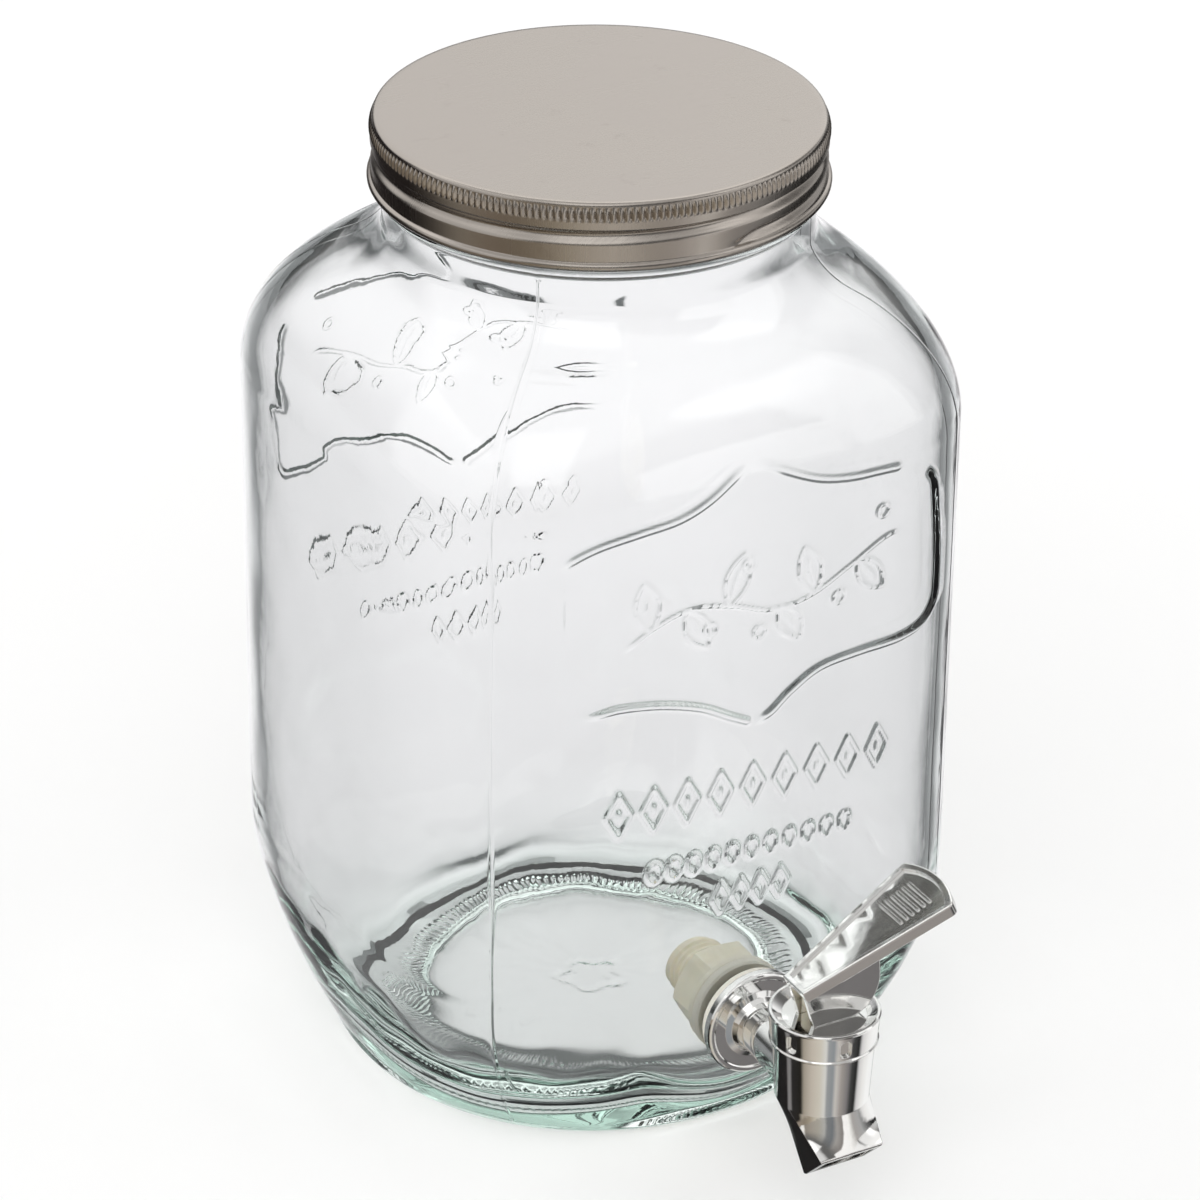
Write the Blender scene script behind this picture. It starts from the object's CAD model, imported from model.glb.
# A square-shouldered glass jar with a threaded metal lid and a lever tap near its foot.
# The jar stands on z = 0 with its axis on Z, and the tap points to -Y, which is the front.
# Shapes are worked out in millimetres.
import bpy, bmesh, math
import numpy as np
from mathutils import Vector, Matrix, Quaternion


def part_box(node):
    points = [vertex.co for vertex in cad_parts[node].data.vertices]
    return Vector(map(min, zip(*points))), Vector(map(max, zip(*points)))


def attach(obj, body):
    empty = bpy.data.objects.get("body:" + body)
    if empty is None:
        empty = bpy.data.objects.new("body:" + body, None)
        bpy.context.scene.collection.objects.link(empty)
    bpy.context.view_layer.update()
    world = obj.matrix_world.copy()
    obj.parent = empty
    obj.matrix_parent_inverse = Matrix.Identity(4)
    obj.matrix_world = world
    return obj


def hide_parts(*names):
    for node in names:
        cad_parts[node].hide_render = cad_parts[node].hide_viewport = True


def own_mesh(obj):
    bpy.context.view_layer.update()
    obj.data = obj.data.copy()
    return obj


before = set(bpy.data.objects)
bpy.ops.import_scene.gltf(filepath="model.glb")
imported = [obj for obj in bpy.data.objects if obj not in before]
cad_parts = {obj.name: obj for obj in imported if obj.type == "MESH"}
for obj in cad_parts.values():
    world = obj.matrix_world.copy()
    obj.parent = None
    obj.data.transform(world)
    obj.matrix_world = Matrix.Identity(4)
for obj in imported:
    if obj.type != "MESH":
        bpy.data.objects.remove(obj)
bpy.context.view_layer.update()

MM = 0.001
PI = math.pi
scene = bpy.context.scene

# Driving sizes, mm
WALL = 4.6                     # glass thickness of the body
MOUTH_R, NECK_R = 48.0, 53.0   # inside and outside of the neck
RIM_Z = 250.65
LIP_H = 1.25                   # height of the rounded lip
TAP_Z = 38.5                   # height of the tap's hole
BOSS_Y, BOSS_IN_Y = -79.0, -74.0   # flat faces outside and inside, round the hole
HOLE_R = 8.3
TAP_AXIS_Y = -115.0            # upright axis of the tap's valve
TAP_AXIS_M = TAP_AXIS_Y / 1000   # the same in metres
THREAD_PITCH, THREAD_TURNS = 5.08, 1.15
THREAD_START = math.radians(-86)
LID_TOP_Z, LID_T = 252.0, 0.35   # top of the lid, thickness of its sheet

# Camera. Azimuth 0 is the front (-Y) and 90 is +X, for lamps too.
CAM_AZIMUTH, CAM_ELEVATION, CAM_ROLL = -29.444, 28.394, 0.594   # degrees
CAM_DISTANCE, TARGET_Z = 1.35318, 0.11764                       # m
SENSOR_W, FOCAL, LENS_SHIFT = 36.0, 160.3848, 0.15              # mm


# ------------------------------------------------------------------ curves
def smooth(t):
    t = np.clip(t, 0.0, 1.0)
    return t * t * (3 - 2 * t)


def bead(distance, half):
    """Rounded ridge, 1 on the line and 0 beyond half."""
    return (np.cos(PI * np.clip(distance / half, 0, 1)) + 1) / 2


def pchip(xs, ys):
    """Monotone cubic through the points, as a function."""
    xs, ys = np.array(xs, float), np.array(ys, float)
    gaps = np.diff(xs)
    slopes = np.diff(ys) / gaps
    tangents = np.zeros(len(xs))
    for i in range(1, len(xs) - 1):
        if slopes[i - 1] * slopes[i] > 0:
            before = 2 * gaps[i] + gaps[i - 1]
            after = gaps[i] + 2 * gaps[i - 1]
            tangents[i] = (before + after) / (before / slopes[i - 1] + after / slopes[i])
    tangents[0], tangents[-1] = slopes[0], slopes[-1]

    def value(x):
        x = np.clip(np.asarray(x, float), xs[0], xs[-1])
        k = np.clip(np.searchsorted(xs, x, side="right") - 1, 0, len(xs) - 2)
        t = (x - xs[k]) / gaps[k]
        return ((2 * t**3 - 3 * t**2 + 1) * ys[k]
                + (t**3 - 2 * t**2 + t) * gaps[k] * tangents[k]
                + (-2 * t**3 + 3 * t**2) * ys[k + 1]
                + (t**3 - t**2) * gaps[k] * tangents[k + 1])

    return value


def polyline_distance(x, z, points):
    """Distance from each point to the open polyline, and how far along it, 0 to 1."""
    lengths = np.hypot(*(points[1:] - points[:-1]).T)
    starts = np.concatenate([[0], np.cumsum(lengths)])
    nearest = np.full(x.shape, 1e9)
    along = np.zeros(x.shape)
    for i, length in enumerate(lengths):
        (x0, z0), (x1, z1) = points[i], points[i + 1]
        t = ((x - x0) * (x1 - x0) + (z - z0) * (z1 - z0)) / (length**2 + 1e-12)
        t = np.clip(t, 0, 1)
        distance = np.hypot(x - (x0 + t * (x1 - x0)), z - (z0 + t * (z1 - z0)))
        closer = distance < nearest
        nearest = np.where(closer, distance, nearest)
        along = np.where(closer, (starts[i] + t * length) / starts[-1], along)
    return nearest, along


def spline(points, steps=8):
    """Catmull-Rom through the points."""
    knots = np.array(points, float)
    knots = np.vstack([2 * knots[0] - knots[1], knots, 2 * knots[-1] - knots[-2]])
    out = []
    for i in range(1, len(knots) - 2):
        before, start, end, after = knots[i - 1:i + 3]
        for t in np.linspace(0, 1, steps, endpoint=False):
            out.append(0.5 * (2 * start + (end - before) * t
                              + (2 * before - 5 * start + 4 * end - after) * t**2
                              + (-before + 3 * start - 3 * end + after) * t**3))
    out.append(knots[-2])
    return np.array(out)


def loop(angles, radius, z):
    """Points round the Z axis."""
    return np.stack([radius * np.cos(angles), radius * np.sin(angles), z + 0 * angles], -1)


def superellipse(angles, half_width, power):
    """Radius at each angle of a rounded square. Power 2 is a circle."""
    cosine, sine = np.abs(np.cos(angles)), np.abs(np.sin(angles))
    return half_width / (cosine**power + sine**power) ** (1 / power)


def turn_angles(count_step):
    return np.radians(np.arange(0, 360, count_step))


# ------------------------------------------------------------------ meshes
def solid_mesh(name, points, faces):
    """Mesh from points in mm, with its normals turned outwards."""
    mesh = bpy.data.meshes.new(name)
    faces = [tuple(int(i) for i in face) for face in faces]
    mesh.from_pydata((np.array(points) * MM).tolist(), [], faces)
    work = bmesh.new()
    work.from_mesh(mesh)
    bmesh.ops.recalc_face_normals(work, faces=work.faces)
    work.to_mesh(mesh)
    work.free()
    mesh.update()
    return mesh


class Rings:
    """Closed loops of points joined one after another.

    Loops of different counts are zipped by angle.
    """

    def __init__(self):
        self.points, self.faces, self.last = [], [], None
        self.count = 0

    def add_points(self, points):
        self.points.append(np.array(points, float))
        self.count += len(points)
        return np.arange(self.count - len(points), self.count)

    def ring(self, points, angles):
        indices = self.add_points(points)
        if self.last is not None:
            self.join(*self.last, indices, angles)
        self.last = (indices, np.array(angles, float))

    def circle(self, angles, radius, z):
        self.ring(loop(angles, radius, z), angles)

    def join(self, old, old_angles, new, new_angles):
        old_n, new_n = len(old), len(new)
        if old_n == new_n:
            for k in range(old_n):
                k2 = (k + 1) % old_n
                self.faces.append((old[k], old[k2], new[k2], new[k]))
            return
        i = j = 0
        while i < old_n or j < new_n:
            old_next = old_angles[(i + 1) % old_n] + (2 * PI if i + 1 >= old_n else 0)
            new_next = new_angles[(j + 1) % new_n] + (2 * PI if j + 1 >= new_n else 0)
            if j >= new_n or (i < old_n and old_next <= new_next):
                self.faces.append((old[i % old_n], old[(i + 1) % old_n], new[j % new_n]))
                i += 1
            else:
                self.faces.append((old[i % old_n], new[(j + 1) % new_n], new[j % new_n]))
                j += 1

    def cap(self, z, first=False):
        """Fan from the last ring to a point on the axis. It is flipped on the first ring."""
        centre = self.add_points([(0, 0, z)])[0]
        indices = self.last[0]
        for k in range(len(indices)):
            edge = (indices[k], indices[(k + 1) % len(indices)])
            self.faces.append((*(edge[::-1] if first else edge), centre))

    def mesh(self, name):
        return solid_mesh(name, np.vstack(self.points), self.faces)


def shade_smooth(mesh, sharp_angle):
    mesh.polygons.foreach_set("use_smooth", [True] * len(mesh.polygons))
    mesh.set_sharp_from_angle(angle=math.radians(sharp_angle))


def link_object(name, data):
    thing = bpy.data.objects.new(name, data)
    scene.collection.objects.link(thing)
    return thing


def add_piece(name, mesh, material, sharp_angle):
    piece = link_object(name, mesh)
    shade_smooth(mesh, sharp_angle)
    mesh.materials.append(material)
    return piece


# ------------------------------------------------------------------ surroundings seen by metal
# How bright the surroundings look to plated metal, by direction round the object:
# (turn in degrees, shade). Turn 0 is towards the camera and positive is to its right.
# They stand for the lamps, stands and dark gaps of a small studio.
NEAR_BANDS = (
    (-180, (0.15, 0.15, 0.15)), (-160, (0.07, 0.07, 0.07)), (-148, (0.02, 0.02, 0.02)),
    (-97, (0.02, 0.018, 0.018)), (-92, (0.24, 0.23, 0.23)), (-86, (0.26, 0.25, 0.25)),
    (-80, (0.03, 0.028, 0.028)), (-55, (0.02, 0.018, 0.015)), (-47, (0.38, 0.34, 0.28)),
    (-28, (0.56, 0.50, 0.43)), (-8, (0.65, 0.61, 0.53)), (4, (0.72, 0.71, 0.68)),
    (10, (0.34, 0.35, 0.36)), (22, (0.28, 0.30, 0.32)), (31, (0.60, 0.57, 0.54)),
    (44, (0.36, 0.33, 0.31)), (60, (0.22, 0.21, 0.21)), (70, (0.06, 0.06, 0.06)),
    (84, (0.02, 0.02, 0.02)), (92, (0.70, 0.69, 0.69)), (108, (0.90, 0.89, 0.88)),
    (128, (1.0, 1.0, 1.0)), (150, (1.0, 1.0, 1.0)), (180, (0.4, 0.4, 0.4)))
# Further from the tap, where the lid's skirt looks: broader, softer, darker to the sides.
FAR_BANDS = (
    (-180, (0.50, 0.49, 0.49)), (-160, (0.30, 0.29, 0.29)), (-148, (0.03, 0.026, 0.026)),
    (-104, (0.015, 0.012, 0.012)), (-90, (0.10, 0.09, 0.08)), (-72, (0.36, 0.33, 0.28)),
    (-58, (0.30, 0.25, 0.20)), (-42, (0.26, 0.22, 0.17)), (-28, (0.36, 0.31, 0.24)),
    (-12, (0.60, 0.55, 0.46)), (0, (0.76, 0.71, 0.65)), (12, (0.78, 0.74, 0.68)),
    (28, (0.52, 0.49, 0.45)), (42, (0.60, 0.57, 0.55)), (56, (1.0, 0.99, 0.96)),
    (68, (0.40, 0.38, 0.37)), (84, (0.40, 0.40, 0.40)), (98, (0.16, 0.16, 0.16)),
    (112, (0.03, 0.03, 0.03)), (146, (0.03, 0.03, 0.03)), (158, (0.35, 0.34, 0.33)),
    (180, (0.50, 0.49, 0.49)))


# ------------------------------------------------------------------ node building
class Tree:
    """Builds the shader nodes of a material or world."""

    def __init__(self, owner):
        owner.use_nodes = True
        self.tree = owner.node_tree
        self.tree.nodes.clear()

    def node(self, kind, inputs=None, **settings):
        node = self.tree.nodes.new("ShaderNode" + kind)
        for key, value in settings.items():
            setattr(node, key, value)
        for key, value in (inputs or {}).items():
            self.put(node.inputs[key], value)
        return node

    def put(self, socket, value):
        """Link an output to the socket, or set its value."""
        if isinstance(value, bpy.types.NodeSocket):
            self.tree.links.new(value, socket)
        else:
            socket.default_value = value

    def calc(self, operation, first, second=0.0):
        inputs = {0: first, 1: second, 2: 0.0}
        return self.node("Math", inputs, operation=operation).outputs[0]

    def add(self, first, second):
        return self.calc("ADD", first, second)

    def sub(self, first, second):
        return self.calc("SUBTRACT", first, second)

    def mul(self, first, second):
        return self.calc("MULTIPLY", first, second)

    def larger(self, first, second):
        return self.calc("MAXIMUM", first, second)

    def vector(self, operation, inputs):
        return self.node("VectorMath", inputs, operation=operation)

    def remap(self, value, span, to, kind="LINEAR"):
        keys = ("Value", "From Min", "From Max", "To Min", "To Max")
        inputs = dict(zip(keys, (value, *span, *to)))
        return self.node("MapRange", inputs, interpolation_type=kind).outputs["Result"]

    def ease(self, value, span, to=(0.0, 1.0)):
        return self.remap(value, span, to, "SMOOTHSTEP")

    def mix(self, factor, first, second, blend="MIX"):
        """Mix two colours. Sockets 6 and 7 are the node's colour inputs."""
        inputs = {0: factor, 6: first, 7: second}
        return self.node("Mix", inputs, data_type="RGBA", blend_type=blend).outputs[2]

    def ray_kinds(self):
        """Light path outputs, and masks of rays off satin metal and rays by way of clear glass."""
        path = self.node("LightPath").outputs
        glossy, singular = path["Is Glossy Ray"], path["Is Singular Ray"]
        polished = self.mul(glossy, self.sub(1.0, singular))
        clear = self.larger(path["Is Transmission Ray"], self.mul(glossy, singular))
        return path, polished, clear

    def view_depth(self, vector):
        """The vector's part along the camera's axis."""
        turned = self.node("VectorTransform", {0: vector}, vector_type="VECTOR",
                           convert_from="WORLD", convert_to="CAMERA")
        return self.node("SeparateXYZ", {0: turned.outputs[0]}).outputs["Z"]

    def angle_mask(self, depth, zero_at, one_at):
        """Eases between two angles, in degrees, from the camera's axis."""
        span = [math.cos(math.radians(angle)) for angle in (zero_at, one_at)]
        return self.ease(self.calc("ABSOLUTE", depth), span)

    def around(self, direction):
        """Turn of a direction from the camera's azimuth, as a place on a ramp of bands."""
        xyz = self.node("SeparateXYZ", {0: direction}).outputs
        azimuth = math.radians(CAM_AZIMUTH)
        cosine, sine = math.cos(azimuth), math.sin(azimuth)
        forward = self.add(self.mul(xyz["X"], sine), self.mul(xyz["Y"], -cosine))
        right = self.add(self.mul(xyz["X"], cosine), self.mul(xyz["Y"], sine))
        turn = self.calc("ARCTAN2", right, forward)
        return self.add(self.calc("DIVIDE", turn, 2 * PI), 0.5)

    def ramp(self, place, bands):
        node = self.node("ValToRGB", {0: place})
        stops = node.color_ramp.elements
        while len(stops) > 1:
            stops.remove(stops[-1])
        for i, (turn, shade) in enumerate(bands):
            position = (turn + 180.0) / 360.0
            stop = stops[0] if i == 0 else stops.new(position)
            stop.position = position
            stop.color = (*shade, 1.0)
        return node.outputs[0]


class Material(Tree):
    """A principled material whose textures follow object coordinates."""

    def __init__(self, name):
        self.material = bpy.data.materials.new(name)
        super().__init__(self.material)
        self.output = self.node("OutputMaterial")
        self.principled = self.node("BsdfPrincipled")
        self.put(self.output.inputs["Surface"], self.principled.outputs[0])
        self.coords = self.node("TexCoord").outputs["Object"]

    def surface(self, **inputs):
        """Set the principled inputs, with _ for a space, and return the material."""
        for key, value in inputs.items():
            self.put(self.principled.inputs[key.replace("_", " ")], value)
        return self.material

    def noise(self, scale, detail=3.0, rough=0.5, stretch=None):
        """Noise. A larger stretch makes it finer along that axis."""
        vector = self.coords
        if stretch:
            vector = self.node("Mapping", {"Vector": vector, "Scale": stretch}).outputs[0]
        inputs = {"Vector": vector, "Scale": scale, "Detail": detail, "Roughness": rough}
        return self.node("TexNoise", inputs).outputs["Fac"]

    def weighted(self, first, first_weight, second, second_weight):
        return self.add(self.mul(first, first_weight), self.mul(second, second_weight))

    def bump(self, height, strength, distance, normal=None):
        inputs = {"Strength": strength, "Distance": distance, "Height": height}
        if normal is not None:
            inputs["Normal"] = normal
        return self.node("Bump", inputs).outputs[0]


def rgb(red, green, blue):
    return (red, green, blue, 1.0)


def srgb(*channels):
    """Linear colour from 0 to 255 display values."""
    def linear(value):
        value /= 255
        return value / 12.92 if value <= 0.04045 else ((value + 0.055) / 1.055) ** 2.4
    return rgb(*map(linear, channels))


# ------------------------------------------------------------------ materials
MID = (0.3, 0.7)   # the span that most noise values fall in


def make_glass():
    mat = Material("clear_glass")
    broad = mat.noise(scale=55, detail=2)
    small = mat.noise(scale=420, detail=2)
    height = mat.weighted(broad, 1.0, small, 0.05)
    absorption = mat.node("VolumeAbsorption",
                          {"Color": rgb(0.30, 0.76, 0.58), "Density": 5.2})
    mat.put(mat.output.inputs["Volume"], absorption.outputs[0])
    return mat.surface(
        Base_Color=rgb(1, 1, 1), Roughness=0.0, IOR=1.52, Transmission_Weight=1.0,
        Normal=mat.bump(height, strength=0.10, distance=0.0006))


def make_tin():
    mat = Material("satin_tinplate")
    # fine rolling lines of the sheet, along X
    brushed = mat.noise(scale=60, detail=4, rough=0.6, stretch=(1.0, 45.0, 1.0))
    fine = mat.noise(scale=900, rough=0.6, stretch=(0.25, 3.0, 3.0))
    cloud = mat.noise(scale=22, rough=0.55)
    spots = mat.noise(scale=140, detail=4, rough=0.7)
    base = mat.mix(cloud, srgb(165, 158, 152), srgb(172, 166, 159))
    spot_mask = mat.remap(spots, span=(0.62, 0.75), to=(0.0, 0.35))
    roughness = mat.add(mat.remap(brushed, span=MID, to=(0.20, 0.27)),
                        mat.remap(cloud, span=MID, to=(-0.03, 0.05)))
    height = mat.weighted(brushed, 0.6, fine, 0.5)
    return mat.surface(
        Base_Color=mat.mix(spot_mask, base, srgb(148, 140, 134)), Metallic=1.0,
        Roughness=roughness, Normal=mat.bump(height, strength=0.06, distance=0.0003))


def make_chrome():
    mat = Material("plated_chrome")
    edges = mat.node("Bevel", {"Radius": 0.00035}, samples=4).outputs[0]
    ripple = mat.noise(scale=110, detail=2)
    fine = mat.noise(scale=900, rough=0.6)
    smear = mat.noise(scale=60, detail=4, rough=0.6, stretch=(1, 1, 0.4))
    smear_span = (0.35, 0.75)
    bright = (0.86, 0.86, 0.855)
    dull = [value * share for value, share in zip(bright, (0.95, 0.945, 0.93))]
    base = mat.mix(mat.remap(smear, span=smear_span, to=(0, 1)), rgb(*bright), rgb(*dull))
    roughness = mat.add(mat.remap(smear, span=smear_span, to=(0.035, 0.085)),
                        mat.remap(fine, span=MID, to=(0.0, 0.02)))
    return mat.surface(
        Base_Color=base, Metallic=1.0, Roughness=roughness,
        Normal=mat.bump(ripple, strength=0.02, distance=0.0010, normal=edges))


def make_cream():
    mat = Material("cream_plastic")
    cloud = mat.noise(scale=60, detail=4, rough=0.6)
    grain = mat.noise(scale=1300, detail=4, rough=0.6)
    base = mat.mix(mat.remap(cloud, span=MID, to=(0, 1)),
                   srgb(255, 248, 229), srgb(254, 243, 219))
    return mat.surface(
        Base_Color=base, IOR=1.5, Subsurface_Weight=0.2, Subsurface_Scale=0.004,
        Subsurface_Radius=(1.0, 0.75, 0.45),
        Roughness=mat.remap(cloud, span=MID, to=(0.36, 0.5)),
        Normal=mat.bump(grain, strength=0.12, distance=0.00012))


def make_silicone():
    mat = Material("soft_silicone")
    cloud = mat.noise(scale=80)
    grain = mat.noise(scale=1600, rough=0.6)
    return mat.surface(
        Base_Color=mat.mix(cloud, srgb(254, 246, 228), srgb(255, 249, 236)), IOR=1.42,
        Subsurface_Weight=0.3, Subsurface_Scale=0.004, Subsurface_Radius=(1.0, 0.95, 0.9),
        Roughness=mat.remap(grain, span=MID, to=(0.45, 0.6)),
        Normal=mat.bump(grain, strength=0.15, distance=0.0001))


def make_steel():
    mat = Material("bright_steel")
    lines = mat.noise(scale=300, detail=4, rough=0.6, stretch=(1, 1, 12))
    return mat.surface(
        Base_Color=mat.mix(lines, rgb(0.55, 0.55, 0.56), rgb(0.66, 0.66, 0.66)), Metallic=1.0,
        Roughness=mat.remap(lines, span=MID, to=(0.2, 0.34)),
        Normal=mat.bump(lines, strength=0.08, distance=0.0001))


def make_seal():
    mat = Material("lid_seal")
    cloud = mat.noise(scale=90)
    grain = mat.noise(scale=1500, detail=4, rough=0.6)
    return mat.surface(
        Base_Color=mat.mix(cloud, srgb(232, 230, 224), srgb(222, 219, 211)),
        Roughness=mat.remap(grain, span=MID, to=(0.5, 0.62)),
        Normal=mat.bump(grain, strength=0.2, distance=0.0001))


GLASS, TIN, CHROME = make_glass(), make_tin(), make_chrome()
CREAM, SILICONE, STEEL, SEAL = make_cream(), make_silicone(), make_steel(), make_seal()


# ------------------------------------------------------------------ jar profile
HEEL_TOP_Z = 51.8
SHOULDER_Z, SHOULDER_H = 179.9, 37.3
SQUARING = 1.4175   # added to a circle's power of 2 where the body is squarest


def heel(z):
    """0 at the foot, 1 where the straight wall starts."""
    t = np.clip((HEEL_TOP_Z - z) / HEEL_TOP_Z, 0, 1)
    return (1 - t**1.474) ** (1 / 1.367)


def shoulder(z):
    """1 where the straight wall ends, falling towards the neck."""
    t = np.clip((z - SHOULDER_Z) / SHOULDER_H, 0, 1)
    return (1 - t**1.921) ** (1 / 1.635)


# Outside of the glass: height, half width, superellipse power
OUTSIDE = [(0.0, 62.5, 2.0), (0.5, 64.8, 2.03), (1.5, 66.3, 2.07), (3.0, 67.4, 2.13)]
OUTSIDE += [(z, 64.2 + 14.6 * heel(z), 2 + SQUARING * heel(z)) for z in np.arange(6, 51.9, 1.4)]
OUTSIDE += [(z, 78.85 + 0.1 * (z - 80) / 70, 2 + SQUARING) for z in (80, 100, 116, 133, 150)]
OUTSIDE += [(z, 48 + 31 * shoulder(z), 2 + SQUARING * shoulder(z))
            for z in np.arange(SHOULDER_Z, 211.6, 1.2)]
OUTSIDE += [(214.3, 58.35, 2.33), (217.5, 55.5, 2.18), (221.2, 53.65, 2.06),
            (223.6, 53.1, 2.0), (226, NECK_R, 2.0), (252, NECK_R, 2.0)]
# Lower part of the inside, same columns
INSIDE = [(9.25, 46, 2.0), (9.9, 52.5, 2.05), (11.6, 58, 2.2), (14.5, 62.4, 2.4),
          (19, 66.2, 2.65), (25, 69.3, 2.9), (33, 71.9, 3.1), (41, 73.4, 3.3),
          (51.8, 74.15, 3.5), (60, 74.2, 3.54)]


def profile(stations):
    """Half width and power as functions of height."""
    heights, widths, powers = np.array(stations).T
    return pchip(heights, widths), pchip(heights, powers)


outside_width, outside_power = profile(OUTSIDE)
inside_width, inside_power = profile(INSIDE)


def outer(angles, z):
    return loop(angles, superellipse(angles, outside_width(z), outside_power(z)), z)


def outer_normal(angles, z, angle_step=1e-4, z_step=0.05):
    around = outer(angles + angle_step, z) - outer(angles - angle_step, z)
    upwards = outer(angles, z + z_step) - outer(angles, z - z_step)
    normal = np.cross(around, upwards)
    return normal / np.linalg.norm(normal, axis=-1, keepdims=True)


# ------------------------------------------------------------------ raised pattern
# On the front and back faces, in the face's own plane: (across to the right, up).
FRAME_TOP_L = [(-50.4, 172.5), (-48.4, 175.4), (-41.8, 178.5), (-32.1, 180.5), (-21.8, 182.0),
               (-13.8, 184.9), (-5.8, 189.4), (-1.0, 191.4)]
FRAME_TOP_R = [(1.5, 191.0), (8.0, 187.4), (16.5, 183.8), (25.1, 182.0), (34.1, 181.2),
               (41.5, 180.3)]
FRAME_RIGHT = [(50.0, 175.9), (53.3, 171.8), (54.6, 163), (55.6, 154.0), (55.9, 145),
               (55.2, 138.4), (50.7, 134.0), (42.8, 132.9), (30.0, 133.4), (18.2, 132.4),
               (9.8, 128.0), (4.3, 123.6), (-0.4, 121.8)]
FRAME_BOTTOM_L = [(-0.4, 121.8), (-6.9, 125.1), (-15.3, 129.7), (-26.2, 133.0),
                  (-36.5, 134.1), (-43.8, 133.1), (-47.3, 134.8)]
FRAME_LEFT = [(-47.3, 134.8), (-50.0, 139.5), (-50.6, 154.9), (-50.6, 168), (-50.4, 172.5)]
STEM = [(-37, 149), (-28, 154.5), (-18, 157.5), (-7, 155.5), (4, 151.8), (15, 153),
        (26, 158), (36, 162.5), (43, 163)]
# across, up, length, half width, tilt in degrees
LEAVES = ((-29, 154, 13, 3.2, 98), (-19.5, 157, 12.5, 3.1, -62), (-8, 155.6, 14, 3.3, 72),
          (6, 152, 11.5, 3.0, -58), (16, 153.4, 13.5, 3.2, 104), (28, 158.8, 12.5, 3.1, -50))
BERRIES = ((-13, 150.5), (-2.5, 165.5), (0.5, 146.5), (23, 150.2), (35.5, 170.0))


def ellipse(x, z, half_width, half_height):
    turn = np.linspace(0, 2 * PI, 28)
    return np.stack([x + half_width * np.cos(turn), z + half_height * np.sin(turn)], -1)


def lozenge(x, z, half_width, half_height):
    left = (x - half_width, z)
    return np.array([left, (x, z + half_height), (x + half_width, z), (x, z - half_height), left])


def leaf(x, z, length, half_width, tilt):
    """Pointed leaf outline and its midrib."""
    along = np.linspace(0, 1, 13)
    half = half_width * np.sin(PI * along) ** 0.85
    upper = np.stack([length * along, half], -1)
    lower = np.stack([length * along, -half], -1)[::-1]
    rib = length * np.array([(0.12, 0), (0.45, 0.03), (0.75, 0)])
    cosine, sine = math.cos(math.radians(tilt)), math.sin(math.radians(tilt))

    def placed(shape):
        return np.stack([x + shape[:, 0] * cosine - shape[:, 1] * sine,
                         z + shape[:, 0] * sine + shape[:, 1] * cosine], -1)

    return placed(np.vstack([upper, lower])), placed(rib)


def make_strokes():
    """Strokes: polyline, half width, height, and the shares that fade at start and end."""
    strokes = [
        (spline(FRAME_TOP_L), 1.55, 0.85, 0.08, 0.14),
        (spline(FRAME_TOP_R), 1.55, 0.85, 0.16, 0.05),
        (spline(FRAME_RIGHT), 1.75, 1.05, 0.03, 0.05),
        (spline(FRAME_BOTTOM_L), 1.6, 0.85, 0.05, 0.20),
        (spline(FRAME_LEFT), 1.5, 0.34, 0.15, 0.15),
        (spline(STEM), 1.0, 0.55, 0.06, 0.06),
    ]
    for place in LEAVES:
        edge, rib = leaf(*place)
        strokes.append((edge, 0.85, 0.5, 0, 0))
        strokes.append((rib, 0.75, 0.35, 0.1, 0.2))
    for x, z in BERRIES:
        strokes.append((ellipse(x, z, 1.7, 1.7), 0.85, 0.5, 0, 0))
    # three rows under the frame: lozenges with a middle bar, ovals, small lozenges
    for k in range(9):
        x = -36.5 + 9.1 * k
        strokes.append((lozenge(x, 104.5, 3.3, 6.1), 0.95, 0.6, 0, 0))
        strokes.append((np.array([(x, 103.6), (x, 105.4)]), 1.1, 0.5, 0, 0))
    for k in range(11):
        strokes.append((ellipse(-27 + 5.4 * k, 86.5, 1.7, 2.6), 0.85, 0.55, 0, 0))
    for k in range(4):
        strokes.append((lozenge(-8.4 + 5.6 * k, 74.5, 2.2, 4.1), 0.9, 0.6, 0, 0))
    return strokes


STROKES = make_strokes()
PATTERN_Z = (66, 196)   # all the strokes lie between these heights
BACK_SHARE = 0.85       # height of the pattern on the back, as a share of the front's


def relief(across, z):
    """Height of the raised pattern. Each stroke only looks at the points near it."""
    height = np.zeros(across.shape)
    for line, half, top, fade_in, fade_out in STROKES:
        low, high = line.min(0) - half, line.max(0) + half
        if not low[1] < z < high[1]:
            continue
        near = (across > low[0]) & (across < high[0])
        distance, along = polyline_distance(across[near], z, line)
        ridge = top * bead(distance, half)
        if fade_in > 0:
            ridge = ridge * smooth(along / fade_in)
        if fade_out > 0:
            ridge = ridge * smooth((1 - along) / fade_out)
        height[near] = np.maximum(height[near], ridge)
    return height


# ------------------------------------------------------------------ jar surface
# Unevenness of pressed glass: height, waves round the jar, height per radian, phase
WAVES = ((0.35, 5, 21.0, 0.7), (0.30, 9, -13.0, 2.1), (0.20, 17, 8.0, 4.0),
         (0.15, 3, 34.0, 0.0), (0.12, 29, -5.5, 1.0))
SEAM_SCALE = 88.0   # mm per radian at the corners


def wave(angles, z, scale):
    return scale * sum(height * np.sin(count * angles + z / rise + phase)
                       for height, count, rise, phase in WAVES)


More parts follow.
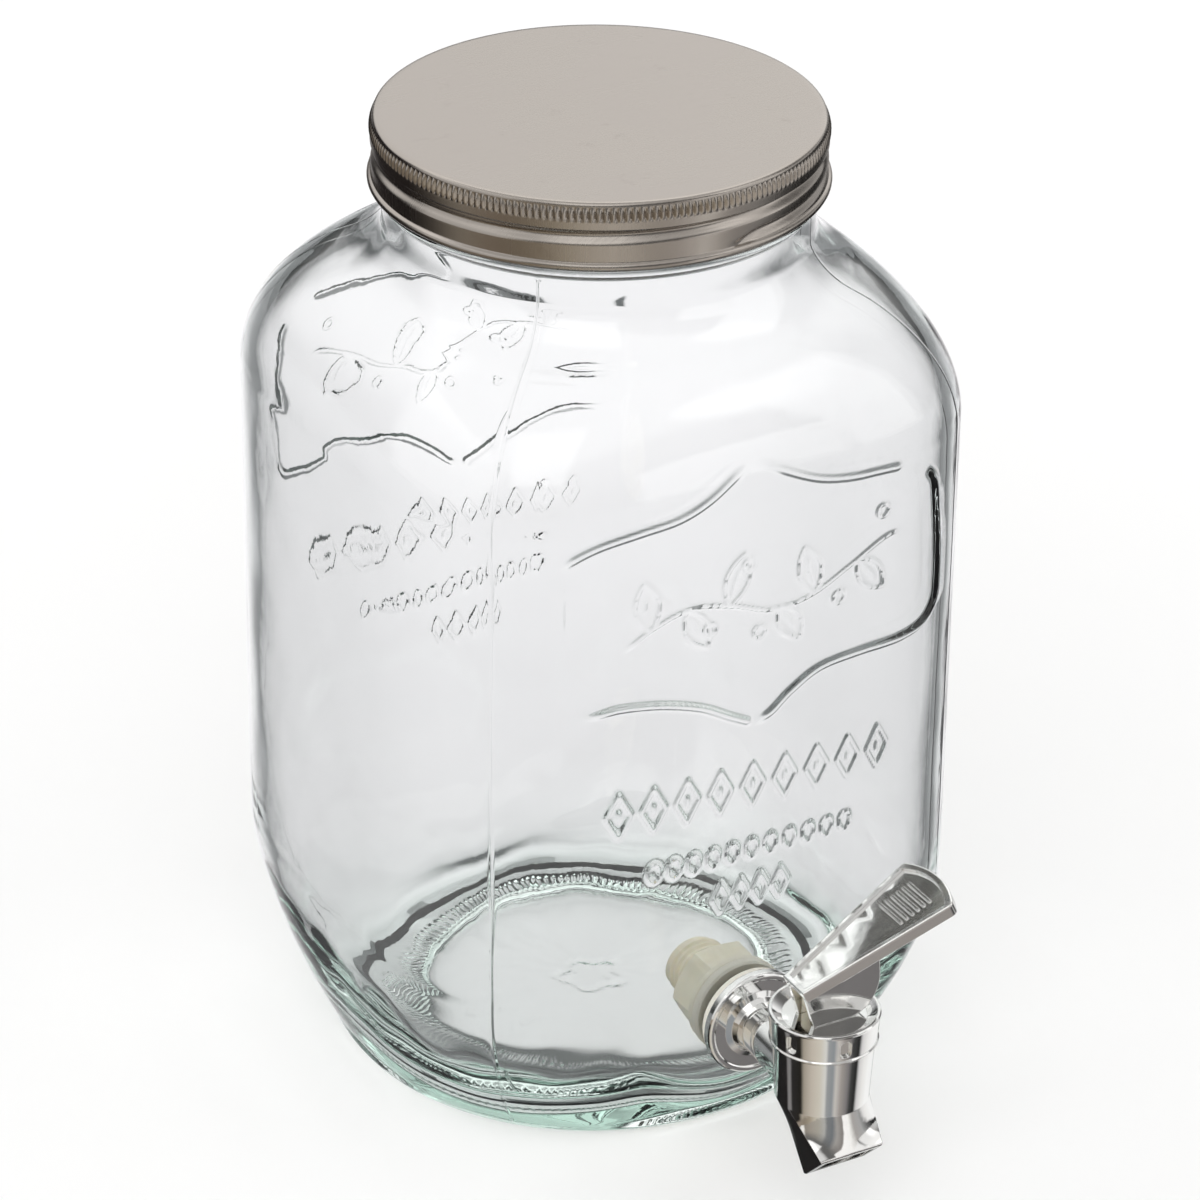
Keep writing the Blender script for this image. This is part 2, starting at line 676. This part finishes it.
def seam(angles, z):
    """Mould seam on each diagonal, a slight ridge that wanders. The front left is tallest."""
    height = np.zeros(angles.shape)
    for k in range(4):
        wander = 0.0016 * np.sin(z / 13.0 + k) + 0.0009 * np.sin(z / 3.7)
        turn = angles - (PI / 4 + k * PI / 2 + wander)
        distance = np.abs(np.arctan2(np.sin(turn), np.cos(turn))) * SEAM_SCALE
        height = np.maximum(height, (0.22 if k == 2 else 0.07) * bead(distance, 0.62))
    return height * smooth((z - 2.0) / 6.0)


def press_boss(points, z, face_y, flat_r, fade_r):
    """Flatten the front onto face_y within flat_r of the tap's hole, fading out to fade_r."""
    distance = np.hypot(points[:, 0], z - TAP_Z)
    share = smooth((fade_r - distance) / (fade_r - flat_r))
    share = np.where(points[:, 1] < 0, share, 0.0)
    points[:, 1] += share * (face_y - points[:, 1])
    return points


def outside_points(angles, z):
    points = outer(angles, z)
    front = points[:, 1] < 0
    height = seam(angles, z)
    if PATTERN_Z[0] < z < PATTERN_Z[1]:
        across = np.where(front, points[:, 0], -points[:, 0])
        height = height + relief(across, z) * np.where(front, 1.0, BACK_SHARE)
    height = height + wave(angles, z, 0.035)
    # neck bead just under the lid
    height = height + 1.3 * bead(abs(z - 232.8), 1.5)
    points = points + outer_normal(angles, z) * height[:, None]
    return press_boss(points, z, BOSS_Y, flat_r=15.0, fade_r=33.0)


def thread_passes(angles):
    """Turns along the thread at each angle, once for every pass that may cross it."""
    return [(angles - THREAD_START) / (2 * PI) + turn for turn in (-1, 0, 1, 2)]


def thread_height(angles, z):
    """Ridge of the glass thread."""
    height = np.zeros(angles.shape)
    for turns in thread_passes(angles):
        middle_z = 239.9 + THREAD_PITCH * turns
        share = smooth(turns / 0.05) * smooth((THREAD_TURNS - turns) / 0.05)
        height = np.maximum(height, 1.35 * share * bead(np.abs(z - middle_z), 1.45))
    return height


def face_angles(face_step, side_step, face_half):
    """Angles round the jar with their own steps on the front and back, and close at the seams."""
    degrees = []
    for middle in (-90, 90):
        degrees += list(np.arange(middle - face_half, middle + face_half + 1e-6, face_step))
    for start, end in ((-90 + face_half, 90 - face_half), (90 + face_half, 270 - face_half)):
        count = int(round((end - start) / side_step))
        degrees += list(np.linspace(start, end, count + 1)[1:-1])
    for corner in (45, 135, 225, -45):
        degrees = [a for a in degrees if abs((a - corner + 180) % 360 - 180) > 0.75]
        degrees += [corner + d for d in (-0.6, -0.42, -0.28, -0.14, 0, 0.14, 0.28, 0.42, 0.6)]
    degrees = np.sort(np.array(degrees) % 360.0)
    keep = np.concatenate([[True], np.diff(degrees) > 0.02])
    return np.radians(degrees[keep])


FOOT_RIBS = 160
FINE_ANGLES = face_angles(face_step=0.34, side_step=1.8, face_half=38.5)
BODY_ANGLES = face_angles(face_step=1.5, side_step=1.5, face_half=30)
PLAIN_ANGLES = turn_angles(1.5)
CENTRE_ANGLES = turn_angles(3.0)
RIB_ANGLES = turn_angles(360 / (FOOT_RIBS * 4))

# Underside, outside the middle: radius, height
UNDERSIDE = ((28, 3.58), (34, 3.45), (39, 3.3), (42, 3.1), (44, 2.75))
# Ribbed ring it stands near: radius, height, rib size
FOOT_RING = ((45.2, 2.2, 0.0), (46.0, 1.6, 0.25), (46.7, 1.0, 0.5), (47.6, 0.55, 0.6),
             (48.8, 0.5, 0.6), (50.0, 0.5, 0.6), (51.2, 0.5, 0.55), (52.2, 0.4, 0.3),
             (53.0, 0.25, 0.0))
UNDER_Z = 3.6      # underside at the middle
FLOOR_IN_Z = 9.0   # inside floor at the middle


def add_underside(rings):
    """From the middle outwards."""
    rings.circle(CENTRE_ANGLES, 3.0, UNDER_Z)
    rings.cap(UNDER_Z, first=True)
    for radius in np.arange(5, 24, 1.0):
        # wavy ridge round the middle
        mark = 0.3 * bead(np.abs(radius - 8.0 - 1.0 * np.sin(5 * CENTRE_ANGLES)), 1.5)
        rings.circle(CENTRE_ANGLES, radius, UNDER_Z - mark)
    for radius, z in UNDERSIDE:
        rings.circle(PLAIN_ANGLES, radius, z + wave(PLAIN_ANGLES, radius, 0.12))
    swing = 0.5 * np.sin(7 * RIB_ANGLES)
    for radius, z, rib in FOOT_RING:
        ribs = rib * (0.5 + 0.5 * np.cos(FOOT_RIBS * RIB_ANGLES + swing))
        rings.circle(RIB_ANGLES, radius, z + ribs * 0.9 - rib * 0.4)
    for radius, z in ((54.5, 0.1), (57, 0.0), (60, 0.0)):
        rings.circle(PLAIN_ANGLES, radius, z)


def add_outside(rings):
    """Body, patterned faces, shoulder, threaded neck and lip, upwards."""
    for angles, heights in (
            (BODY_ANGLES, [*np.linspace(0.0, 6.0, 10), *np.arange(7.2, 65.5, 1.35)]),
            (FINE_ANGLES, [*np.arange(66.0, 119.0, 0.62), *np.arange(119.5, 194.6, 0.5)]),
            (BODY_ANGLES, [*np.arange(196, 226.2, 1.15), 227.0, 228.2, 229.4, 230.4])):
        for z in heights:
            rings.ring(outside_points(angles, z), angles)
    for z in np.arange(231.0, 249.2, 0.42):
        ridge = outer_normal(PLAIN_ANGLES, z) * thread_height(PLAIN_ANGLES, z)[:, None]
        rings.ring(outside_points(PLAIN_ANGLES, z) + ridge, PLAIN_ANGLES)
    for turn in np.linspace(0, PI, 9):
        radius = (NECK_R + MOUTH_R) / 2 + (NECK_R - MOUTH_R) / 2 * math.cos(turn)
        rings.circle(PLAIN_ANGLES, radius, RIM_Z - LIP_H + LIP_H * math.sin(turn) ** 0.9)


def add_inside(rings):
    """Bore, inside wall and floor, downwards."""
    angles = PLAIN_ANGLES
    for z in (247.5, 244, 240, 236, 232, 229, 226.5):
        rings.circle(angles, MOUTH_R, z)
    for z in [224.2, 222.6, *np.arange(221.0, 185.0, -1.5), *np.arange(184.0, 56.0, -3.2)]:
        depth = WALL + wave(angles, z, 0.09)
        rings.ring(outer(angles, z) - outer_normal(angles, z) * depth[:, None], angles)
    for z in [*np.arange(54.0, 12.0, -1.3), 11.4, 10.7, 10.2, 9.8, 9.5]:
        radius = superellipse(angles, inside_width(z), inside_power(z))
        radius = radius + wave(angles, z * 1.3, 0.09 + 0.55 * smooth((46 - z) / 22))
        points = press_boss(loop(angles, radius, z), z, BOSS_IN_Y, flat_r=14.5, fade_r=31)
        rings.ring(points, angles)
    for radius in (44, 42, 40, 37, 34, 30, 26, 21):
        z = FLOOR_IN_Z + 0.25 * (radius / 46) ** 2
        rings.circle(angles, radius, z + wave(angles, radius * 1.5, 0.16))
    for radius in (16, 11, 6):
        rings.circle(CENTRE_ANGLES, radius, FLOOR_IN_Z + wave(CENTRE_ANGLES, radius * 1.5, 0.16))
    rings.cap(FLOOR_IN_Z)


def drill_hole(jar):
    """Cut the tap's hole through the front wall."""
    place = Matrix.Translation((0, (BOSS_Y + BOSS_IN_Y) / 2 * MM, TAP_Z * MM))
    work = bmesh.new()
    bmesh.ops.create_cone(work, cap_ends=True, cap_tris=False, segments=96,
                          radius1=HOLE_R * MM, radius2=HOLE_R * MM, depth=24 * MM,
                          matrix=place @ Matrix.Rotation(PI / 2, 4, "X"))
    cutter_mesh = bpy.data.meshes.new("cut")
    work.to_mesh(cutter_mesh)
    work.free()
    cutter = link_object("cut", cutter_mesh)
    cut = jar.modifiers.new("hole", "BOOLEAN")
    cut.operation, cut.object, cut.solver = "DIFFERENCE", cutter, "EXACT"
    depsgraph = bpy.context.evaluated_depsgraph_get()
    drilled = bpy.data.meshes.new_from_object(jar.evaluated_get(depsgraph))
    jar.modifiers.clear()
    whole = jar.data
    jar.data = drilled
    bpy.data.meshes.remove(whole)
    bpy.data.objects.remove(cutter)
    bpy.data.meshes.remove(cutter_mesh)


def build_jar():
    rings = Rings()
    add_underside(rings)
    add_outside(rings)
    add_inside(rings)
    jar = add_piece("jar_glass", rings.mesh("jar_glass"), GLASS, sharp_angle=50)
    drill_hole(jar)
    shade_smooth(jar.data, sharp_angle=50)
    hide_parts("glass_jar")
    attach(jar, "jar")


build_jar()


# ------------------------------------------------------------------ lid
KNURLS = 208
LID_ANGLES = turn_angles(1.0)
KNURL_ANGLES = turn_angles(360 / (KNURLS * 6))
TOP_R = 53.2                              # flat top, up to the edge bend
BEND_R, BEND_MIDDLE_R = 1.15, 54.0        # the bend, and the middle it turns about
CURL_R, CURL_MIDDLE_R, CURL_MIDDLE_Z = 1.05, 55.45, 235.85
# Knurled band: height, share of the knurl's full depth
KNURL_BAND = ((250.9, 0.0), (250.6, 0.35), (250.2, 0.85), (249.6, 1.0), (248.9, 1.0),
              (248.3, 1.0), (247.8, 0.8), (247.45, 0.3), (247.2, 0.0))


def lid_bead(angles, z):
    """Depth of the pressed thread bead, steeper above its middle than below."""
    depth = np.zeros(angles.shape)
    for turns in thread_passes(angles):
        middle_z = 238.9 + THREAD_PITCH * turns - 1.5 * (1 - smooth(turns / 0.03))
        share = smooth(turns / 0.02) * smooth((THREAD_TURNS - turns) / 0.05)
        distance = np.abs(z - middle_z)
        shape = np.where(z > middle_z, bead(distance, 1.25), bead(distance, 2.3))
        depth = np.maximum(depth, share * shape)
    return depth


def skirt_radius(angles, z):
    """Outside radius of the skirt between the knurl and the curl."""
    radius = 55.65 - 0.62 * smooth((245.35 - z) / 0.55) + 0.5 * smooth((244.6 - z) / 3.4)
    return radius - 1.15 * lid_bead(angles, z) * smooth(246.0 - z)


def lid_rings(inset):
    """Rings (angles, radius, height) from the middle of the top down to the curl.

    The inset is 0 for the outside and the sheet's thickness for the inside.
    """
    out = []
    for radius in (4, 12, 22, 32, 42, 49, 52.0, TOP_R):
        angles = LID_ANGLES if radius < 50 else KNURL_ANGLES
        out.append((angles, radius, LID_TOP_Z - inset - 0.05 * (radius / TOP_R) ** 2))
    bend = BEND_R - inset
    for k in range(1, 7):
        turn = PI / 2 * k / 6
        out.append((KNURL_ANGLES, BEND_MIDDLE_R + bend * math.sin(turn),
                    LID_TOP_Z - 1.2 + bend * math.cos(turn)))
    ridge = np.cos(KNURLS * KNURL_ANGLES)
    # broad crests and narrow grooves
    ridge = np.where(ridge > 0, np.abs(ridge)**0.7, -np.abs(ridge) ** 1.6)
    for z, share in KNURL_BAND:
        base = BEND_MIDDLE_R + BEND_R + 0.45 * smooth((251.0 - z) / 2.2)
        out.append((KNURL_ANGLES, base - inset + share * (0.33 * ridge - 0.03), z))
    for z in [*np.arange(246.9, 245.5, -0.35), *np.arange(245.4, 236.8, -0.3)]:
        out.append((LID_ANGLES, skirt_radius(LID_ANGLES, z) - inset, z))
    return out


def build_lid():
    rings = Rings()
    for i, ring in enumerate(lid_rings(0.0)):
        rings.circle(*ring)
        if i == 0:
            rings.cap(LID_TOP_Z, first=True)
    # rolled curl: the sheet flares out, rolls down and back in, and closes against itself
    for k in range(15):
        turn = math.radians(78 - k * 24)
        rings.circle(LID_ANGLES, CURL_MIDDLE_R + CURL_R * math.cos(turn),
                     CURL_MIDDLE_Z + CURL_R * math.sin(turn))
    rings.circle(LID_ANGLES, 55.1, 236.95)
    for ring in lid_rings(LID_T)[::-1]:
        rings.circle(*ring)
    rings.cap(LID_TOP_Z - LID_T)
    lid = add_piece("lid_sheet", rings.mesh("lid_sheet"), TIN, sharp_angle=55)
    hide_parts("lid_shell")
    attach(lid, "lid")


build_lid()


# ------------------------------------------------------------------ return spring
COIL_R, WIRE_R, COIL_TURNS = 6.0, 0.4, 6.5
CLOSED_TURNS, CLOSED_RISE = 0.9, 0.045   # turns at each end, and their share of the height


def unit(vectors):
    return vectors / np.linalg.norm(vectors, axis=1, keepdims=True)


def spring_mesh(path, sides=10):
    """Round wire along the path, with flat ends."""
    tangent = unit(np.gradient(path, axis=0))
    outward = unit(path * [1, 1, 0] - np.array([0, TAP_AXIS_Y, 0]))
    outward = unit(outward - tangent * (outward * tangent).sum(1, keepdims=True))
    sideways = np.cross(tangent, outward)
    points, faces = [], []
    for i in range(len(path)):
        for k in range(sides):
            turn = 2 * PI * k / sides
            offset = math.cos(turn) * outward[i] + math.sin(turn) * sideways[i]
            points.append(path[i] + WIRE_R * offset)
    for start in range(0, (len(path) - 1) * sides, sides):
        for k in range(sides):
            k2 = (k + 1) % sides
            faces.append((start + k, start + k2, start + sides + k2, start + sides + k))
    faces.append(tuple(range(sides))[::-1])
    faces.append(tuple((len(path) - 1) * sides + k for k in range(sides)))
    return solid_mesh("spring", points, faces)


def build_spring():
    low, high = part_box("return_spring")
    bottom, top = low.z / MM + WIRE_R, high.z / MM - WIRE_R
    turns = np.linspace(0, COIL_TURNS, int(COIL_TURNS * 40))
    rise = np.interp(turns, [0, CLOSED_TURNS, COIL_TURNS - CLOSED_TURNS, COIL_TURNS],
                     [0, CLOSED_RISE, 1 - CLOSED_RISE, 1.0])
    path = np.stack([COIL_R * np.cos(2 * PI * turns),
                     TAP_AXIS_Y + COIL_R * np.sin(2 * PI * turns),
                     bottom + (top - bottom) * rise], -1)
    spring = add_piece("valve_spring", spring_mesh(path), STEEL, sharp_angle=60)
    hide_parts("return_spring")
    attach(spring, "jar")
    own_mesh(spring)


build_spring()


# ------------------------------------------------------------------ materials of the CAD pieces
CAD_MATERIALS = dict(
    tap_body=CHROME, bonnet_collar=CHROME, lever=CHROME, inlet_shank=CREAM, lock_nut=CREAM,
    backing_washer=CREAM, outer_washer=SILICONE, inner_washer=SILICONE,
    bonnet_gasket=SILICONE, valve_stem=CREAM, stem_o_ring=SILICONE, pivot_pin=STEEL,
    valve_plug=SILICONE, spring_washer=STEEL, lid_liner=SEAL)

for node_name, material in CAD_MATERIALS.items():
    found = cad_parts[node_name]
    for piece in found if isinstance(found, (list, tuple)) else [found]:
        if not piece.material_slots:
            piece.data.materials.append(material)
        for slot in piece.material_slots:
            slot.link = "OBJECT"
            slot.material = material


# ------------------------------------------------------------------ floor
FLOOR_HALF = 7.0   # m


def make_floor_material():
    """Pale to the eye, dimmer through bent glass, and banded in polished metal."""
    mat = Material("pale_floor")
    path, polished, clear = mat.ray_kinds()
    pale = mat.mix(mat.noise(scale=3.0), rgb(0.93, 0.93, 0.93), rgb(0.95, 0.95, 0.95))
    # Rays that the glass bends well away from the view meet dimmer ground,
    # as on a lit table in a dark room. Far out, a smaller bend is enough.
    incoming = mat.node("NewGeometry").outputs["Incoming"]
    depth = mat.view_depth(incoming)
    bent = mat.angle_mask(depth, zero_at=9.5, one_at=33)
    from_middle = mat.vector("LENGTH", {0: mat.coords}).outputs["Value"]
    far = mat.ease(from_middle, span=(0.5, 1.1))
    turned = mat.angle_mask(depth, zero_at=6, one_at=14)
    dimmed = mat.larger(bent, mat.mul(far, turned))
    # full before any diffuse bounce, a little less after a glossy one
    direct = mat.calc("LESS_THAN", path["Diffuse Depth"], 0.5)
    mirrored = mat.calc("GREATER_THAN", path["Glossy Depth"], 0.5)
    direct = mat.mul(direct, mat.sub(1.0, mat.mul(mirrored, 0.1)))
    seen = mat.mix(mat.mul(clear, direct), pale, rgb(0.975, 0.955, 0.982))
    colour = mat.mix(mat.mul(mat.mul(clear, direct), dimmed), seen, rgb(0.15, 0.155, 0.16))
    # metal sees the near bands by the tap and the far bands further out
    travel = mat.vector("SCALE", {0: incoming, "Scale": -1.0}).outputs[0]
    place = mat.around(travel)
    near_shades = mat.ramp(place, NEAR_BANDS)
    far_shades = mat.ramp(place, FAR_BANDS)
    from_tap = mat.vector("DISTANCE", {0: mat.coords, 1: (0.0, TAP_AXIS_M, 0.0)})
    farness = mat.ease(from_tap.outputs["Value"], span=(0.20, 0.32))
    shades = mat.mix(farness, near_shades, far_shades)
    return mat.surface(Base_Color=mat.mix(polished, colour, shades), Roughness=0.9,
                       Specular_IOR_Level=0.0)


def build_floor():
    material = make_floor_material()
    mesh = bpy.data.meshes.new("floor")
    half = FLOOR_HALF
    corners = [(-half, -half, 0), (half, -half, 0), (half, half, 0), (-half, half, 0)]
    mesh.from_pydata(corners, [], [(0, 1, 2, 3)])
    floor = link_object("floor", mesh)
    mesh.materials.append(material)


build_floor()


# ------------------------------------------------------------------ light
WORLD_STRENGTH = 0.67
LAMP_TINT = (1.0, 0.994, 0.985)
# Lamps all rays meet alike: azimuth, elevation, half width, half height, power
LAMPS = ((-100, 24, 0.55, 0.5, 1.1), (55, 22, 0.30, 0.55, 1.35),
         (-35, 50, 0.28, 0.34, 1.15), (26, 7, 0.20, 0.24, 1.3))


def direction(azimuth, elevation):
    """Unit vector towards an azimuth and elevation in degrees."""
    azimuth, elevation = math.radians(azimuth), math.radians(elevation)
    return Vector((math.sin(azimuth) * math.cos(elevation),
                   -math.cos(azimuth) * math.cos(elevation), math.sin(elevation)))


class World(Tree):
    """The world's nodes, which work on the direction looked in."""

    def __init__(self, world):
        super().__init__(world)
        self.looked = self.node("TexCoord").outputs["Generated"]

    def along(self, axis):
        return self.vector("DOT_PRODUCT", {0: self.looked, 1: axis}).outputs["Value"]

    def softbox(self, azimuth, elevation, half_width, half_height, power, edge=0.12):
        """Rectangular lamp. Half sizes are at unit distance and edge is its soft border."""
        towards = direction(azimuth, elevation)
        turn = math.radians(azimuth)
        sideways = Vector((math.cos(turn), math.sin(turn), 0))
        facing = self.along(towards)
        safe = self.larger(facing, 0.05)
        masks = []
        for axis, half in ((sideways, half_width), (towards.cross(sideways) * -1, half_height)):
            offset = self.calc("ABSOLUTE", self.calc("DIVIDE", self.along(axis), safe))
            masks.append(self.ease(offset, span=(half * (1 + edge), half * (1 - edge))))
        in_front = self.calc("GREATER_THAN", facing, 0.05)
        return self.mul(self.mul(self.mul(*masks), in_front), power)

    def grey(self, values):
        return self.node("CombineColor", dict(enumerate(values))).outputs[0]


def build_world():
    world = bpy.data.worlds.new("studio")
    scene.world = world
    # guards against a build without Cycles, where world.cycles is missing
    try:
        # so that each kind of ray meets only its own surroundings
        world.cycles.sampling_method = "NONE"
    except AttributeError:
        pass
    sky = World(world)
    up = sky.along((0, 0, 1))
    path, polished, clear = sky.ray_kinds()
    diffuse = path["Is Diffuse Ray"]

    # soft surroundings, darker for rays that glass bends away from the view
    clear = sky.mul(clear, sky.calc("LESS_THAN", path["Diffuse Depth"], 0.5))
    straight = sky.angle_mask(sky.view_depth(sky.looked), zero_at=16, one_at=8)
    clear = sky.mul(clear, sky.sub(1.0, straight))
    dark = sky.mul(sky.ease(up, span=(-0.1, 0.9), to=(0.34, 0.67)),
                   sky.ease(up, span=(0.0, 0.55), to=(0.16, 1.0)))
    mirrored = sky.calc("GREATER_THAN", path["Glossy Depth"], 0.5)
    lift = sky.mul(mirrored, sky.ease(up, span=(0.15, 0.5), to=(0.0, 0.2)))
    dark = sky.mul(dark, sky.add(1.0, lift))
    bright = sky.ease(up, span=(-0.1, 0.9), to=(1.0, 0.72))
    soft = sky.add(sky.mul(bright, sky.sub(1.0, clear)), sky.mul(clear, dark))

    # overhead lamp, weaker on diffuse surfaces
    overhead = sky.softbox(azimuth=0, elevation=88, half_width=1.0, half_height=1.0,
                           power=1.0, edge=0.25)
    lamps = sky.mul(overhead, sky.sub(0.92, sky.mul(diffuse, 0.60)))
    for lamp in LAMPS:
        lamps = sky.add(lamps, sky.softbox(*lamp))
    # lamp near the camera's side that only diffuse surfaces meet
    fill = sky.softbox(azimuth=-30, elevation=42, half_width=0.6, half_height=0.5, power=1.1)
    lamps = sky.add(lamps, sky.mul(fill, diffuse))
    # lamp behind, stronger in polished metal
    behind = sky.softbox(azimuth=165, elevation=36, half_width=1.15, half_height=0.5,
                         power=0.8, edge=0.28)
    lamps = sky.add(lamps, sky.mul(behind, sky.add(1.0, sky.mul(polished, 0.95))))

    # polished metal sees the bands near the horizon and a dim ceiling between the lamps
    bands = sky.ramp(sky.around(sky.looked), NEAR_BANDS)
    metal_view = sky.mix(sky.ease(up, span=(0.10, 0.50)), bands, rgb(0.22, 0.215, 0.21))
    tone = sky.mix(polished, sky.grey([soft] * 3), metal_view)
    lamp_colour = sky.grey([sky.mul(lamps, tint) for tint in LAMP_TINT])
    colour = sky.mix(1.0, tone, lamp_colour, blend="ADD")
    background = sky.node("Background", {"Color": colour, "Strength": WORLD_STRENGTH})
    sky.node("OutputWorld", {"Surface": background.outputs[0]})


build_world()


# ------------------------------------------------------------------ camera and render
def build_camera():
    lens = bpy.data.cameras.new("camera")
    camera = link_object("camera", lens)
    scene.camera = camera
    lens.sensor_width = SENSOR_W
    lens.lens = FOCAL
    lens.shift_x = LENS_SHIFT / SENSOR_W
    lens.clip_start, lens.clip_end = 0.05, 50
    back = direction(CAM_AZIMUTH, CAM_ELEVATION)
    camera.location = Vector((0, 0, TARGET_Z)) + back * CAM_DISTANCE
    camera.rotation_mode = "QUATERNION"
    roll = Quaternion((0, 0, 1), math.radians(CAM_ROLL))
    camera.rotation_quaternion = (-back).to_track_quat("-Z", "Y") @ roll


build_camera()

scene.view_settings.view_transform = "Standard"
scene.view_settings.look = "None"
scene.view_settings.exposure = 0.0
scene.view_settings.gamma = 1.0

CYCLES_SETTINGS = dict(
    use_denoising=True, max_bounces=32, transmission_bounces=28, glossy_bounces=10,
    diffuse_bounces=3, transparent_max_bounces=8, volume_bounces=0,
    sample_clamp_indirect=6.0, blur_glossy=0.2)
# guards against a build without Cycles, where scene.cycles is missing
try:
    for key, value in CYCLES_SETTINGS.items():
        setattr(scene.cycles, key, value)
except AttributeError:
    pass
